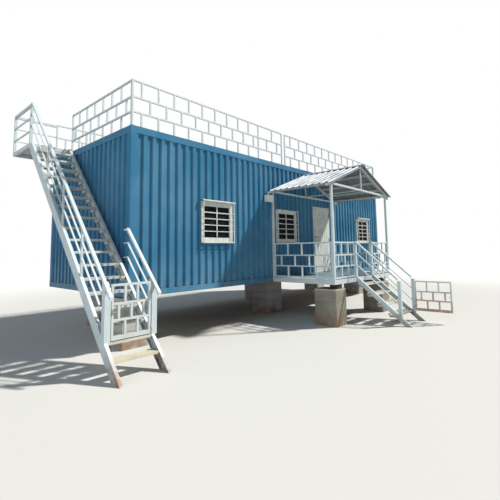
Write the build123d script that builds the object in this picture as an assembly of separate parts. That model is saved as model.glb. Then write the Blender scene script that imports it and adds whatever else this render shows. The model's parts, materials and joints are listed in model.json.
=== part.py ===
from build123d import *
import math
import os

# Portable site cabin: a corrugated steel cabin on concrete pedestals, with a railed roof,
# an outside stair to the roof, and a roofed porch with its own short stair.
# Millimetres. X runs along the cabin from its left end, Y from its front wall to its back
# wall, Z up from the ground. The finished model is moved so that its origin is the centre of
# its footprint on the ground.

# Cabin body
cabin_length = 10350.0
cabin_width = 3600.0
cabin_height = 3050.0
ground_gap = 920.0
corner_post = 110.0
base_beam_depth = 110.0
base_beam_width = 100.0
top_rail_depth = 130.0
top_rail_width = 100.0
wall_thickness = 82.0
wall_setback = 8.0
rib_pitch = 191.0
rib_depth = 36.0
rib_crest = 76.0
rib_flank = 24.0
floor_thickness = 40.0
joist_count = 9
joist_width = 50.0
roof_drop = 15.0
channel_wall = 10.0

# Windows and doorway
window_width = 900.0
window_height = 870.0
window_sill = 945.0
left_window_centre = 2060.0
porch_window_offset = 585.0
right_window_to_end = 1285.0
window_frame_bar = 50.0
window_sill_bar = 95.0
window_frame_proud = 14.0
window_frame_depth = 60.0
pane_thickness = 6.0
grille_stand_off = 70.0
grille_bar = 14.0
hood_reach = 110.0
hood_drop = 24.0
hood_side = 25.0
hood_thickness = 4.0
door_offset = 1890.0
door_width = 900.0
door_top = 2030.0
door_frame_bar = 45.0
door_frame_proud = 12.0
door_gap = 6.0
leaf_thickness = 40.0
leaf_rib_count = 6
leaf_rib_width = 60.0
leaf_rib_height = 6.0
leaf_rim = 70.0
hinge_radius = 7.0
hinge_length = 110.0
handle_height = 1020.0
handle_length = 130.0
handle_stand_off = 50.0
handle_radius = 10.0
handle_rose = 26.0
hinge_wing = 4.0
door_hinge_shares = (0.1, 0.5, 0.9)
gate_hinge_shares = (0.15, 0.85)

# Steelwork sizes shared by the rails, stairs and porch
rail_bar = 30.0
roof_rail_height = 870.0
roof_rail_inset = 22.0
rail_courses = 3
roof_rail_cell = 364.5
long_rail_cell = 419.5
end_rail_cell = 372.0
porch_side_cell = 405.0
porch_front_cell = 300.0
least_cell = 0.3
front_rail_joint = 4530.0
front_rail_post = 3520.0
rail_gap = 110.0
landing_gap_start = 2640.0

# Landing and roof stair
stair_outer = 870.0
stair_inner = 80.0
landing_front = 2480.0
landing_beam_depth = 75.0
landing_beam_width = 50.0
landing_plate = 6.0
guard_height = 850.0
stair_first_run = 248.0
stair_first_drop = 153.0
stair_riser = 208.8
stair_going = 196.4
stair_treads = 18
tread_depth = 200.0
tread_thickness = 36.0
tread_plate = 6.0
tread_overhang = 40.0
stringer_width = 50.0
stringer_depth = 240.0
newel_size = 90.0
gate_tread = 17
handrail_rise = 775.0
handrail_bar = 50.0
mid_rail_bar = 26.0
mid_rail_count = 2
rail_foot_share = 0.3
handrail_overhang = 140.0
inner_rail_start = -100.0
cleat_width = 36.0
cleat_thickness = 8.0
stair_post_spacing = 780.0
stair_post_count = 3

# Porch
porch_left = 3960.0
porch_width = 3020.0
porch_depth = 1700.0
porch_post = 50.0
porch_beam_depth = 100.0
porch_beam_width = 60.0
porch_plate = 6.0
porch_joist_count = 3
porch_rail_height = 840.0
porch_rail_lift = 16.0
canopy_tie_top = 2280.0
canopy_tie_depth = 44.0
canopy_pitch = 21.0
canopy_overhang = 195.0
canopy_front_overhang = 80.0
rafter_depth = 60.0
rafter_seat = 100.0
ridge_beam_width = 50.0
purlin_size = 40.0
purlin_count = 3
purlin_foot_share = 0.5
sheet_thickness = 6.0
sheet_rib_pitch = 176.0
sheet_rib_height = 24.0
sheet_flat = 120.0
sheet_rib_flank = 14.0
ridge_cap_reach = 150.0
ridge_cap_thickness = 3.0
ridge_cap_lift = 2.0

# Porch stair
porch_stair_offset = 1040.0
porch_stair_width = 880.0
porch_first_drop = 156.0
porch_riser = 210.0
porch_going = 247.0
porch_treads = 4
porch_tread_depth = 250.0
porch_first_run = 240.0
porch_stringer_depth = 130.0
porch_newel = 70.0
porch_newel_top = 50.0
lower_newel_run = 1020.0
upper_newel_top = 960.0
porch_handrail_bar = 50.0

# Gates
gate_bar = 32.0
gate_foot_bar = 60.0
gate_cells = 3
gate_gap = 20.0
gate_latch_gap = 10.0
hinge_offset = 6.0
roof_gate_height = 770.0
roof_gate_lift = 16.0
porch_gate_height = 690.0
porch_gate_top = 10.0
porch_gate_rest = 93.0

# Supports
pedestal_width = 560.0
pedestal_depth = 640.0
pedestal_chamfer = 25.0
left_pedestal_setback = 235.0
pedestal_setback = 570.0
middle_pedestal_offset = 520.0
back_pedestal_inset = 650.0
back_middle_offset = 2140.0
packing_height = 25.0
packing_inset = 60.0
porch_pedestal_width = 500.0
porch_pedestal_depth = 550.0
porch_pedestal_inset = 20.0
porch_packing_height = 110.0
porch_packing_size = 200.0

# Box on the wall
box_offset = 185.0
box_width = 210.0
box_height = 160.0
box_depth = 85.0
box_sill = 1985.0

underside = ground_gap
porch_right = porch_left + porch_width
porch_stair_left = porch_left + porch_stair_offset
porch_stair_right = porch_stair_left + porch_stair_width
door_left = porch_left + door_offset
window_centres = (left_window_centre, porch_left + porch_window_offset, cabin_length - right_window_to_end)
hooded_centres = (window_centres[0], window_centres[2])
wall_foot = underside + base_beam_depth
roof_top = underside + cabin_height
wall_head = roof_top - top_rail_depth
wall_inner = wall_setback + wall_thickness
porch_floor = underside + porch_beam_depth + porch_plate

# Planes that face the front, along the cabin, and down
facing_front = Plane(origin=(0, 0, 0), x_dir=(1, 0, 0), z_dir=(0, -1, 0))
facing_right = Plane(origin=(0, 0, 0), x_dir=(0, 1, 0), z_dir=(1, 0, 0))
parts = {}


def block(xs, ys, zs):
    size = [high - low for low, high in (xs, ys, zs)]
    middle = [(high + low) / 2 for low, high in (xs, ys, zs)]
    return Pos(*middle) * Box(*size)


def slab(plane, sketch, start, thickness):
    # A flat shape drawn in the plane, moved along its normal and thickened along it
    return extrude(plane.offset(start) * sketch, amount=thickness, dir=plane.z_dir)


def outline(*points):
    return make_face(Polyline(*points, close=True))


def across_x(points, start, thickness):
    # Points are (y, z)
    return slab(facing_right, outline(*points), start, thickness)


def along_y(points, front, back):
    # Points are (x, z)
    return slab(facing_front, outline(*points), -back, back - front)


def slope_bar(start, end, depth, xs):
    # A bar whose top edge runs from start to end, each (y, z), with upright ends
    (y0, z0), (y1, z1) = start, end
    corners = [(y0, z0), (y1, z1), (y1, z1 - depth), (y0, z0 - depth)]
    return across_x(corners, xs[0], xs[1] - xs[0])


def brick_openings(length, height, cell, courses, bar, foot, lead):
    # The gaps between the bars of a railing whose uprights are set like bricks in a wall.
    # Uprights of every other course stand at lead and each cell on; the rest stand half a cell off.
    course = (height - bar - foot) / courses
    gaps = []
    for row in range(courses):
        first = lead - cell / 2 if row % 2 else lead
        places = [first + cell * (step - 1) for step in range(math.ceil(length / cell) + 2)]
        last = (length - bar) / cell - least_cell
        uprights = [place for place in places if least_cell < place / cell < last]
        low = foot + row * course
        high = low + course - (bar if row < courses - 1 else 0)
        edges = [0, *uprights, length - bar]
        for left, right in zip(edges, edges[1:]):
            gap = Rectangle(right - left - bar, high - low)
            gaps.append(Pos((left + right + bar) / 2, (low + high) / 2) * gap)
    return gaps


def even_cell(length, bar, cell):
    # The cell nearest to the one wanted that divides the length evenly
    return (length - bar) / max(2, round(length / cell))


def brick_panel(plane, corner, size, cell, start, foot, lead):
    # A railing panel of size (length, height) with its lower left corner at corner
    length, height = size
    frame = Rectangle(length, height, align=Align.MIN)
    panel = frame - brick_openings(length, height, cell, rail_courses, rail_bar, foot, lead)
    return slab(plane, Pos(*corner) * panel, start, rail_bar)


def channel(xs, ys, zs, side):
    # A channel-section member: side is the direction in which it is open
    web = block(xs, ys, zs)
    low = [min(pair) for pair in (xs, ys, zs)]
    high = [max(pair) for pair in (xs, ys, zs)]
    open_axis = 0 if side[0] else 1
    hollow_low = [low[0], low[1], low[2] + channel_wall]
    hollow_high = [high[0], high[1], high[2] - channel_wall]
    if side[open_axis] > 0:
        hollow_low[open_axis] += channel_wall
    else:
        hollow_high[open_axis] -= channel_wall
    return web - block(*zip(hollow_low, hollow_high))


def ribbed_line(length, pitch, depth, crest, flank):
    # Points along a trapezoidal sheet: crests at 0 and valleys at -depth
    count = max(1, round(length / pitch))
    step = length / count
    line = []
    for index in range(count):
        left = index * step + crest / 2
        right = (index + 1) * step - crest / 2
        line += [(left, 0), (left + flank, -depth), (right - flank, -depth), (right, 0)]
    return line


def ribbed_wall(length, height):
    # A wall standing along X, its ribs facing the front and its inner face flat
    ribs = ribbed_line(length, rib_pitch, rib_depth, rib_crest, rib_flank)
    face = [(0, 0), *[(s, -d) for s, d in ribs], (length, 0)]
    inner = [(length, wall_thickness), (0, wall_thickness)]
    return extrude(outline(*face, *inner), amount=height, dir=(0, 0, 1))


def add(name, *solids):
    pieces = [solid for shape in solids for solid in shape.solids()]
    parts[name] = pieces[0] if len(pieces) == 1 else Compound(pieces)


# Base beams, corner posts and top rails make the cabin's frame
def frame_ring(low, high, width):
    # Channels along the four sides, between the corner posts and open to the inside
    along = (corner_post, cabin_length - corner_post)
    across = (corner_post, cabin_width - corner_post)
    zone = (low, high)
    return [
        channel(along, (0, width), zone, (0, 1)),
        channel(along, (cabin_width - width, cabin_width), zone, (0, -1)),
        channel((0, width), across, zone, (1, 0)),
        channel((cabin_length - width, cabin_length), across, zone, (-1, 0)),
    ]


def frame_posts():
    ends_x = ((0, corner_post), (cabin_length - corner_post, cabin_length))
    ends_y = ((0, corner_post), (cabin_width - corner_post, cabin_width))
    return [block(xs, ys, (underside, roof_top)) for xs in ends_x for ys in ends_y]


def panel_between_posts(inset, low, thickness):
    # A slab inside the frame, notched round the four corner posts
    length = cabin_length - 2 * inset
    width = cabin_width - 2 * inset
    notch = corner_post - inset
    plan = Rectangle(length, width)
    if notch > 0:
        plan -= GridLocations(length - notch, width - notch, 2, 2) * Rectangle(notch, notch)
    return extrude(Pos(cabin_length / 2, cabin_width / 2, low) * plan, amount=thickness, dir=(0, 0, 1))


add("base_beams", *frame_ring(underside, wall_foot, base_beam_width))
add("corner_posts", *frame_posts())
add("top_rails", *frame_ring(wall_head, roof_top, top_rail_width))
add("cabin_floor", panel_between_posts(base_beam_width, wall_foot - floor_thickness, floor_thickness))
add("roof_panel", panel_between_posts(top_rail_width, wall_head, top_rail_depth - roof_drop))

joist_span = (base_beam_width, cabin_width - base_beam_width)
joist_step = (cabin_length - 2 * corner_post) / (joist_count + 1)
joists = []
for index in range(joist_count):
    middle = corner_post + joist_step * (index + 1)
    xs = (middle - joist_width / 2, middle + joist_width / 2)
    joists.append(channel(xs, joist_span, (underside, wall_foot - floor_thickness), (1, 0)))

# Walls: the front one is cut for its windows and parted beside and over the doorway
wall_run = cabin_length - 2 * corner_post
wall_height = wall_head - wall_foot
end_run = cabin_width - 2 * corner_post
front_wall = Pos(corner_post, wall_setback, wall_foot) * ribbed_wall(wall_run, wall_height)
window_low = underside + window_sill
window_high = window_low + window_height
through_wall = (-1, wall_inner + 1)
for centre in window_centres:
    xs = (centre - window_width / 2, centre + window_width / 2)
    front_wall -= block(xs, through_wall, (window_low, window_high))

door_right = door_left + door_width
door_head = underside + door_top
wall_zone = (wall_foot, wall_head)
add("front_wall_left", front_wall & block((corner_post, door_left), through_wall, wall_zone))
add("front_wall_right", front_wall & block((door_right, cabin_length - corner_post), through_wall, wall_zone))
add("front_wall_over_door", front_wall & block((door_left, door_right), through_wall, (door_head, wall_head)))

back_wall = Rot(0, 0, 180) * ribbed_wall(wall_run, wall_height)
add("back_wall", Pos(cabin_length - corner_post, cabin_width - wall_setback, wall_foot) * back_wall)
left_wall = Rot(0, 0, -90) * ribbed_wall(end_run, wall_height)
add("left_end_wall", Pos(wall_setback, cabin_width - corner_post, wall_foot) * left_wall)
right_wall = Rot(0, 0, 90) * ribbed_wall(end_run, wall_height)
add("right_end_wall", Pos(cabin_length - wall_setback, corner_post, wall_foot) * right_wall)


# Windows: a frame and a pane in each hole, with a box grille standing off the wall
def window_opening(bar, sill):
    # The hole in a frame whose lower bar is the sill
    hole = Rectangle(window_width - 2 * bar, window_height - bar - sill)
    return Pos(0, (sill - bar) / 2) * hole


def window_ring(bar, sill):
    return Rectangle(window_width, window_height) - window_opening(bar, sill)


def sheet_hood(centre):
    # A folded sheet over a window, sloping down to the front
    top = window_high + hood_drop + hood_thickness
    wall_face = wall_setback
    fall = [
        (wall_face, top + hood_drop),
        (wall_face - hood_reach, top),
        (wall_face - hood_reach, top - hood_thickness),
        (wall_face, top + hood_drop - hood_thickness),
    ]
    half = window_width / 2 + hood_side
    return across_x(fall, centre - half, 2 * half)


window_middle = (window_low + window_high) / 2
frames, panes, grilles = [], [], []
frame_ring_face = window_ring(window_frame_bar, window_sill_bar)
glass = window_opening(window_frame_bar, window_sill_bar)
for centre in window_centres:
    at_window = Pos(centre, window_middle)
    frame_back = window_frame_depth - window_frame_proud
    frames.append(slab(facing_front, at_window * frame_ring_face, -frame_back, window_frame_depth))
    panes.append(slab(facing_front, at_window * glass, -frame_back / 2, pane_thickness))
    ring = slab(facing_front, at_window * window_ring(grille_bar, grille_bar), grille_stand_off, grille_bar)
    leg_grid = GridLocations(window_width - grille_bar, window_height - grille_bar, 2, 2)
    leg_spots = Sketch() + leg_grid * Rectangle(grille_bar, grille_bar)
    leg_reach = grille_stand_off - window_frame_proud
    legs = slab(facing_front, at_window * leg_spots, window_frame_proud, leg_reach)
    grilles.append(ring + legs)
add("window_frames", *frames)
add("window_panes", *panes)
add("window_grilles", *grilles)
add("window_hoods", *[sheet_hood(centre) for centre in hooded_centres])

# Door: jambs and head in the wall, and a ribbed leaf hung on its right edge
frame_front = -door_frame_proud
jamb_left = (door_left, door_left + door_frame_bar)
jamb_right = (door_right - door_frame_bar, door_right)
jamb_zone = (frame_front, wall_inner)
jambs = [block(xs, jamb_zone, (wall_foot, door_head - door_frame_bar)) for xs in (jamb_left, jamb_right)]
add("door_jambs", *jambs)
add("door_lintel", block((door_left, door_right), jamb_zone, (door_head - door_frame_bar, door_head)))

leaf_x = (jamb_left[1] + door_gap, jamb_right[0] - door_gap)
leaf_z = (wall_foot + door_gap, door_head - door_frame_bar - door_gap)
leaf_width = leaf_x[1] - leaf_x[0]
leaf_height = leaf_z[1] - leaf_z[0]
leaf_back = frame_front + leaf_thickness
leaf_plane = facing_front.offset(-frame_front)
leaf_middle = Pos(sum(leaf_x) / 2, sum(leaf_z) / 2)
rib_step = (leaf_width - 2 * leaf_rim - leaf_rib_width) / (leaf_rib_count - 1)
rib_face = Rectangle(leaf_rib_width, leaf_height - 2 * leaf_rim)
leaf_ribs = Sketch() + GridLocations(rib_step, 0, leaf_rib_count, 1) * rib_face
leaf_slab = block(leaf_x, (frame_front, leaf_back), leaf_z)
add("door_leaf", leaf_slab + slab(leaf_plane, leaf_middle * leaf_ribs, 0, leaf_rib_height))

hinge_x = jamb_right[0] - door_gap / 2
hinge_y = frame_front - hinge_radius
knuckles = []
for share in door_hinge_shares:
    z = leaf_z[0] + share * leaf_height
    barrel = Pos(hinge_x, hinge_y, z) * Cylinder(hinge_radius, hinge_length)
    wing_x = (hinge_x, jamb_right[1])
    wing_z = (z - hinge_length / 2, z + hinge_length / 2)
    wing = block(wing_x, (frame_front - hinge_wing, frame_front), wing_z)
    knuckles.append(barrel + wing)
add("door_hinges", *knuckles)

handle_x = leaf_x[0] + leaf_rim / 2
handle_z = wall_foot + handle_height
lever_y = frame_front - handle_stand_off
rose = facing_front.offset(-frame_front) * (Pos(handle_x, handle_z) * Circle(handle_rose))
spindle = facing_front.offset(-frame_front) * (Pos(handle_x, handle_z) * Circle(handle_radius))
handle = extrude(rose, amount=handle_radius, dir=(0, -1, 0))
handle += extrude(spindle, amount=handle_stand_off, dir=(0, -1, 0))
lever_plane = Plane(origin=(handle_x - handle_radius, lever_y, handle_z), z_dir=(1, 0, 0))
lever_end = lever_plane * Circle(handle_radius)
handle += extrude(lever_end, amount=handle_length, dir=(1, 0, 0))
add("door_handle", handle)

# Box on the wall beside the porch
box_centre = porch_left - box_offset
box_x = (box_centre - box_width / 2, box_centre + box_width / 2)
box_z = (underside + box_sill, underside + box_sill + box_height)
add("wall_box", block(box_x, (wall_setback - box_depth, wall_setback), box_z))


# Roof railing: uprights stand on the top rails, staggered like bricks, with no foot rail
rail_left = roof_rail_inset
rail_right = cabin_length - roof_rail_inset
rail_front = roof_rail_inset
rail_back = cabin_width - roof_rail_inset


def roof_panel_along_x(xs, y, cell, lead):
    size = (xs[1] - xs[0], roof_rail_height)
    return brick_panel(facing_front, (xs[0], roof_top), size, cell, -y - rail_bar, 0, lead)


def roof_panel_along_y(ys, x):
    size = (ys[1] - ys[0], roof_rail_height)
    cell = even_cell(size[0], rail_bar, end_rail_cell)
    return brick_panel(facing_right, (ys[0], roof_top), size, cell, x, 0, cell)


def lead_from_end(length, cell):
    # The cells are full at the far end, and what is left over is at the near one
    return (length - rail_bar) % cell


first_run = (rail_left, front_rail_post)
second_run = (front_rail_post - rail_bar, front_rail_joint - rail_gap / 2)
third_run = (front_rail_joint + rail_gap / 2, rail_right)
front_panels = []
for run, cell in ((first_run, roof_rail_cell), (second_run, long_rail_cell), (third_run, long_rail_cell)):
    lead = lead_from_end(run[1] - run[0], cell)
    front_panels.append(roof_panel_along_x(run, rail_front, cell, lead))
add("roof_rail_front", front_panels[0] + front_panels[1], front_panels[2])
back_cell = even_cell(rail_right - rail_left, rail_bar, long_rail_cell)
add("roof_rail_back", roof_panel_along_x((rail_left, rail_right), rail_back - rail_bar, back_cell, back_cell))
left_run = (rail_front + rail_bar, landing_gap_start)
right_run = (rail_front + rail_bar, rail_back - rail_bar)
end_panels = [roof_panel_along_y(left_run, rail_left), roof_panel_along_y(right_run, rail_right - rail_bar)]
add("roof_rail_ends", *end_panels)

# Landing flush with the roof, hung on the left end's top rail
landing_z = roof_top
landing_back = cabin_width
landing_left = -stair_outer
beam_zone = (landing_z - landing_plate - landing_beam_depth, landing_z - landing_plate)
side_beam = (landing_left + landing_beam_width, 0)
add(
    "landing_beams",
    block((landing_left, landing_left + landing_beam_width), (landing_front, landing_back), beam_zone),
    block(side_beam, (landing_front, landing_front + landing_beam_width), beam_zone),
    block(side_beam, (landing_back - landing_beam_width, landing_back), beam_zone),
)
post_side = handrail_bar
outer_x = (landing_left, landing_left + post_side)
near_post_y = (landing_front, landing_front + post_side)
far_post_y = (landing_back - post_side, landing_back)
deck_plan = Rectangle(stair_outer, landing_back - landing_front, align=Align.MIN)
for ys in (near_post_y, far_post_y):
    deck_plan -= Pos(0, ys[0] - landing_front) * Rectangle(post_side, post_side, align=Align.MIN)
deck_place = Pos(landing_left, landing_front, landing_z - landing_plate)
add("landing_deck", extrude(deck_place * deck_plan, amount=landing_plate, dir=(0, 0, 1)))
guard_top = landing_z + guard_height
post_zone = (landing_z - landing_plate, guard_top)
add("landing_posts", block(outer_x, near_post_y, post_zone), block(outer_x, far_post_y, post_zone))


def rail_ladder(plane, start_corner, length, depth, start):
    # Level rails between two posts: the top one flush with the post tops, the others below
    step = guard_height / (mid_rail_count + 1)
    rails = []
    for index in range(mid_rail_count + 1):
        top = guard_top - index * step
        bar = handrail_bar if index == 0 else mid_rail_bar
        line = Pos(start_corner, top - bar) * Rectangle(length, bar, align=Align.MIN)
        rails.append(slab(plane, line, start + (depth - bar) / 2, bar))
    return rails


outer_span = far_post_y[0] - near_post_y[1]
outer_rails = rail_ladder(facing_right, near_post_y[1], outer_span, post_side, landing_left)
back_span = rail_left - outer_x[1]
back_rails = rail_ladder(facing_front, outer_x[1], back_span, post_side, -landing_back)
add("landing_guard", *outer_rails, *back_rails)

# Roof stair: two stringers, open treads, handrails and newels
slope = stair_riser / stair_going
first_nose_z = landing_z - stair_first_drop
first_nose_y = landing_front - stair_first_run


def nosing_z(y):
    return first_nose_z - (first_nose_y - y) * slope


ground_y = first_nose_y - first_nose_z / slope
outer_stringer = (landing_left, landing_left + stringer_width)
inner_stringer = (-stair_inner - stringer_width, -stair_inner)


def channel_stringer(points, xs, side):
    # A stringer cut from channel: its web is on the outside and it is open towards the other one
    face = outline(*points)
    hollow = offset(face, -channel_wall, kind=Kind.INTERSECTION)
    start = xs[0] + channel_wall if side > 0 else xs[0]
    depth = xs[1] - xs[0]
    return slab(facing_right, face, xs[0], depth) - slab(facing_right, hollow, start, depth - channel_wall)


def stair_stringer(xs, side):
    # Its top edge follows the nosings up to the landing's underside and is level from there
    head_z = beam_zone[1]
    head_y = first_nose_y + (head_z - first_nose_z) / slope
    edge = [
        (landing_front, head_z),
        (head_y, head_z),
        (ground_y, 0),
        (ground_y + stringer_depth / slope, 0),
        (head_y, head_z - stringer_depth),
        (landing_front, beam_zone[0]),
    ]
    return channel_stringer(edge, xs, side)


def folded_tread(xs, ys, top):
    # A plate folded down at its front and back edges
    under = (top - tread_thickness, top - tread_plate)
    return block(xs, ys, (under[0], top)) - block(xs, (ys[0] + tread_plate, ys[1] - tread_plate), under)


add("roof_stair_stringers", stair_stringer(outer_stringer, 1), stair_stringer(inner_stringer, -1))
tread_x = (outer_stringer[1], inner_stringer[0])
treads = []
for index in range(stair_treads):
    nose_y = first_nose_y - index * stair_going
    top = first_nose_z - index * stair_riser
    treads.append(folded_tread(tread_x, (nose_y, nose_y + tread_depth), top))
add("roof_stair_treads", *treads)

newel_y = first_nose_y - (gate_tread - 1) * stair_going + newel_size / 2
newel_faces = (newel_y - newel_size / 2, newel_y + newel_size / 2)


def rail_line(y):
    # Top of the handrail
    return nosing_z(y) + handrail_rise


def upright(xs, ys, foot, head):
    # A post cut to the slope at its foot and its head, each a height as a function of y
    corners = [(ys[0], foot(ys[0])), (ys[1], foot(ys[1])), (ys[1], head(ys[1])), (ys[0], head(ys[0]))]
    return across_x(corners, xs[0], xs[1] - xs[0])


def under_rail(y):
    return rail_line(y) - handrail_bar


rail_foot_y = newel_faces[0] - handrail_overhang
outer_newel_x = (landing_left, landing_left + newel_size)
inner_newel_x = (-stair_inner + tread_overhang - newel_size, -stair_inner + tread_overhang)
newel_xs = (outer_newel_x, inner_newel_x)
add("roof_stair_newels", *[upright(xs, newel_faces, nosing_z, under_rail) for xs in newel_xs])


def sloping_rail(ys, drop, bar, middle_x):
    xs = (middle_x - bar / 2, middle_x + bar / 2)
    ends = [(y, rail_line(y) - drop) for y in ys]
    return slope_bar(*ends, bar, xs)


rail_spacing = (handrail_rise - handrail_bar) / (mid_rail_count + 1)
rail_head_y = landing_front
outer_mid_x = landing_left + handrail_bar / 2
inner_mid_x = sum(inner_newel_x) / 2
outer_rail = sloping_rail((rail_head_y, rail_foot_y), 0, handrail_bar, outer_mid_x)
for index in range(1, mid_rail_count + 1):
    ys = (rail_head_y, newel_faces[1])
    outer_rail += sloping_rail(ys, index * rail_spacing, mid_rail_bar, outer_mid_x)
for index in range(stair_post_count):
    middle = newel_y + stair_post_spacing * (index + 1)
    ys = (middle - rail_bar / 2, middle + rail_bar / 2)
    xs = (outer_mid_x - rail_bar / 2, outer_mid_x + rail_bar / 2)
    outer_rail += upright(xs, ys, nosing_z, under_rail)
add("roof_stair_rail_outer", outer_rail)

inner_rails = []
for index in range(mid_rail_count + 1):
    # The lower end stands on the newel, and a flat cleat ties the upper one to the corner post
    bar = mid_rail_bar if index else handrail_bar
    ys = (inner_rail_start, newel_faces[1] if index else rail_foot_y)
    rail = sloping_rail(ys, index * rail_spacing, bar, inner_mid_x)
    cleat_top = rail_line(inner_rail_start) - index * rail_spacing - bar / 4
    half_cleat = cleat_thickness / 2
    cleat_plan = outline(
        (inner_mid_x - half_cleat, inner_rail_start - cleat_width),
        (inner_mid_x + half_cleat, inner_rail_start - cleat_width),
        (inner_mid_x + half_cleat, cleat_width - half_cleat),
        (0, cleat_width - half_cleat),
        (0, cleat_width + half_cleat),
        (inner_mid_x - half_cleat, cleat_width + half_cleat),
    )
    rail += extrude(Pos(0, 0, cleat_top - bar / 2) * cleat_plan, amount=bar / 2, dir=(0, 0, 1))
    inner_rails.append(rail)
add("roof_stair_rail_inner", *inner_rails)

# Porch: posts, floor and balustrade
half_post = porch_post / 2
post_xs = [(x - half_post, x + half_post) for x in (porch_left, porch_right)]
rear_post_y = (-porch_post, 0)
front_post_y = (-porch_depth - half_post, -porch_depth + half_post)
tie_low = underside + canopy_tie_top - canopy_tie_depth
post_zone = (underside, tie_low)
posts = [block(xs, ys, post_zone) for xs in post_xs for ys in (rear_post_y, front_post_y)]
add("porch_posts", *posts)

frame_low = (underside, underside + porch_beam_depth)
side_span = (front_post_y[1], rear_post_y[0])
half_beam = porch_beam_width / 2
side_beams = [
    block((x - half_beam, x + half_beam), side_span, frame_low) for x in (porch_left, porch_right)
]
front_beam_y = (front_post_y[0], front_post_y[0] + porch_beam_width)
rear_beam_y = (-porch_beam_width, 0)
front_beams = [block((post_xs[0][1], post_xs[1][0]), ys, frame_low) for ys in (front_beam_y, rear_beam_y)]
add("porch_floor_beams", *side_beams, *front_beams)
joist_gap = (porch_right - porch_left) / (porch_joist_count + 1)
for index in range(porch_joist_count):
    middle = porch_left + joist_gap * (index + 1)
    xs = (middle - joist_width / 2, middle + joist_width / 2)
    joists.append(channel(xs, (front_beam_y[1], rear_beam_y[0]), frame_low, (1, 0)))
add("floor_joists", *joists)

porch_front = front_post_y[0]
post_spots = GridLocations(porch_right - porch_left, -porch_front - porch_post, 2, 2)
porch_plan = Rectangle(porch_right - porch_left + porch_post, -porch_front)
porch_plan -= post_spots * Rectangle(porch_post, porch_post)
deck_middle = Pos((porch_left + porch_right) / 2, porch_front / 2, frame_low[1])
add("porch_deck", extrude(deck_middle * porch_plan, amount=porch_plate, dir=(0, 0, 1)))

porch_panel_z = porch_floor + porch_rail_lift
porch_panel_height = porch_rail_height - porch_rail_lift
half_bar = rail_bar / 2
side_size = (side_span[1] - side_span[0], porch_panel_height)
side_cell = even_cell(side_size[0], rail_bar, porch_side_cell)
porch_panels = []
for x in (porch_left, porch_right):
    corner = (side_span[0], porch_panel_z)
    start = x - half_bar
    porch_panels.append(brick_panel(facing_right, corner, side_size, side_cell, start, rail_bar, side_cell))
half_newel = porch_newel / 2
front_runs = (
    (post_xs[0][1], porch_stair_left - half_newel),
    (porch_stair_right + half_newel, post_xs[1][0]),
)
for start, end in front_runs:
    size = (end - start, porch_panel_height)
    corner = (start, porch_panel_z)
    cell = even_cell(size[0], rail_bar, porch_front_cell)
    porch_panels.append(brick_panel(facing_front, corner, size, cell, porch_depth - half_bar, rail_bar, cell))
add("porch_rails", *porch_panels)

# Porch canopy: a tie, rafters and a king post at each end, purlins between, ribbed sheets on top
pitch_slope = math.tan(math.radians(canopy_pitch))
ridge_x = (porch_left + porch_right) / 2
tie_top = underside + canopy_tie_top
tie_x = (post_xs[0][0], post_xs[1][1])
add("canopy_cross_ties", *[block(tie_x, ys, (tie_low, tie_top)) for ys in (rear_post_y, front_post_y)])
long_beams = [block(xs, side_span, (tie_low, tie_top)) for xs in post_xs]
tie_reach = ridge_x - tie_x[0]
eave_reach = tie_reach + canopy_overhang - half_post
half_ridge = ridge_beam_width / 2
seat_drop = rafter_seat * pitch_slope


def rafter_low(reach):
    # Height of a rafter's underside at a distance from the ridge
    return tie_top - seat_drop + (tie_reach - reach) * pitch_slope


def rafter(side, ys):
    # Cut level where it seats on the tie, and upright at the ridge beam and the eave
    seat_reach = tie_reach - rafter_seat
    line = [
        (eave_reach, rafter_low(eave_reach)),
        (tie_reach, rafter_low(tie_reach)),
        (tie_reach, tie_top),
        (seat_reach, tie_top),
        (half_ridge, rafter_low(half_ridge)),
        (half_ridge, rafter_low(half_ridge) + rafter_depth),
        (eave_reach, rafter_low(eave_reach) + rafter_depth),
    ]
    return along_y([(ridge_x + side * reach, z) for reach, z in line], *ys)


rafters = [rafter(side, ys) for side in (-1, 1) for ys in (rear_post_y, front_post_y)]
add("canopy_rafters", *rafters)
ridge_zone = (rafter_low(half_ridge), rafter_low(half_ridge) + rafter_depth)
ridge_span = (front_post_y[0], 0)
ridge_sides = (ridge_x - half_ridge, ridge_x + half_ridge)
add("canopy_long_beams", *long_beams, block(ridge_sides, ridge_span, ridge_zone))
king_posts = []
for ys in (rear_post_y, front_post_y):
    middle = sum(ys) / 2
    post_y = (middle - rail_bar / 2, middle + rail_bar / 2)
    king_posts.append(block((ridge_x - half_bar, ridge_x + half_bar), post_y, (tie_top, ridge_zone[0])))
centre_tie = block((ridge_x - half_bar, ridge_x + half_bar), side_span, (tie_top - rail_bar, tie_top))
add("canopy_centre_frame", *king_posts, centre_tie)
purlins = []
for side in (-1, 1):
    for index in range(purlin_count):
        share = (index + 1) / (purlin_count + purlin_foot_share)
        reach = half_ridge + (tie_reach - rafter_seat - half_ridge) * share
        top = rafter_low(reach) + rafter_depth
        half = purlin_size / 2
        rise = half * pitch_slope
        line = [
            (reach - half, top + rise),
            (reach + half, top - rise),
            (reach + half, top - rise - purlin_size),
            (reach - half, top + rise - purlin_size),
        ]
        purlins.append(along_y([(ridge_x + side * r, z) for r, z in line], *side_span))
add("canopy_purlins", *purlins)


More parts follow.
